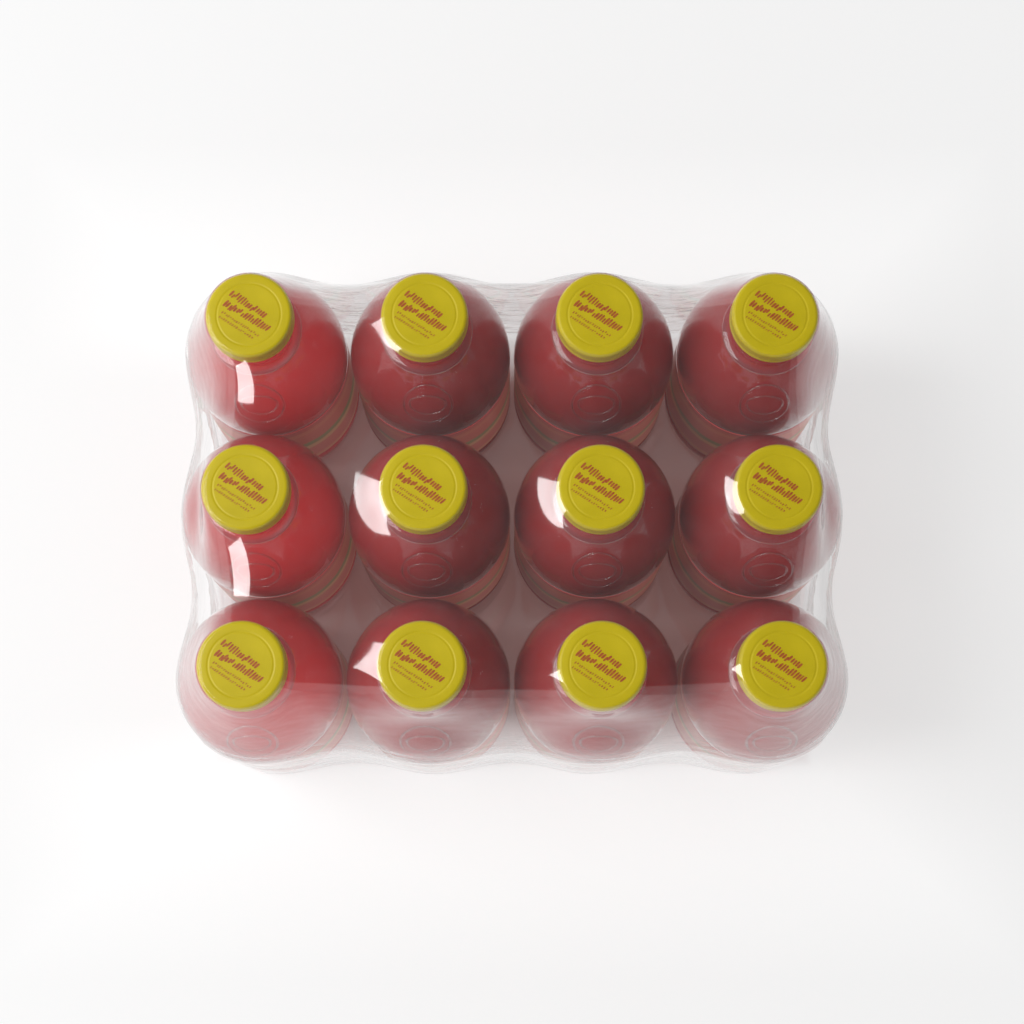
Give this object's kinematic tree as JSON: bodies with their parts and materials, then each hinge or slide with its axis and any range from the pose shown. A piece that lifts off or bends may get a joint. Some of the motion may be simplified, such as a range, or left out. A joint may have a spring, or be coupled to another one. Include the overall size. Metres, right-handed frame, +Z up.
{
  "type": "shrink-wrapped pack of drink bottles",
  "caption": "Clear film sleeve shrunk tight round rows of upright round bottles of red drink, with yellow twist-off caps, a printed label round each bottle and an oval opening at each end",
  "frame": {"origin": "the middle of the pack's flat base, on the surface that it stands on", "axes": "+X along the four bottles of a row, to the picture's right; +Y towards the picture's back row; +Z up, from the bases to the caps"},
  "size_m": [0.308, 0.231, 0.1636],
  "materials": {
    "bottle_clear": "clear moulded plastic, glossy",
    "red_drink": "cloudy red fruit drink",
    "label_print": "printed film label",
    "cap_yellow": "moulded plastic with a satin gloss",
    "clear_film": "clear shrink film with a milky haze on its slopes"
  },
  "bodies": {
    "root": {"bottle_1_1": "bottle_clear", "drink_1_1": "red_drink", "label_1_1": "label_print", "cap_1_1": "cap_yellow", "bottle_1_2": "bottle_clear", "drink_1_2": "red_drink", "label_1_2": "label_print", "cap_1_2": "cap_yellow", "bottle_1_3": "bottle_clear", "drink_1_3": "red_drink", "label_1_3": "label_print", "cap_1_3": "cap_yellow", "bottle_1_4": "bottle_clear", "drink_1_4": "red_drink", "label_1_4": "label_print", "cap_1_4": "cap_yellow", "bottle_2_1": "bottle_clear", "drink_2_1": "red_drink", "label_2_1": "label_print", "cap_2_1": "cap_yellow", "bottle_2_2": "bottle_clear", "drink_2_2": "red_drink", "label_2_2": "label_print", "cap_2_2": "cap_yellow", "bottle_2_3": "bottle_clear", "drink_2_3": "red_drink", "label_2_3": "label_print", "cap_2_3": "cap_yellow", "bottle_2_4": "bottle_clear", "drink_2_4": "red_drink", "label_2_4": "label_print", "cap_2_4": "cap_yellow", "bottle_3_1": "bottle_clear", "drink_3_1": "red_drink", "label_3_1": "label_print", "cap_3_1": "cap_yellow", "bottle_3_2": "bottle_clear", "drink_3_2": "red_drink", "label_3_2": "label_print", "cap_3_2": "cap_yellow", "bottle_3_3": "bottle_clear", "drink_3_3": "red_drink", "label_3_3": "label_print", "cap_3_3": "cap_yellow", "bottle_3_4": "bottle_clear", "drink_3_4": "red_drink", "label_3_4": "label_print", "cap_3_4": "cap_yellow", "film_wrap": "clear_film"}
  },
  "joints": []
}
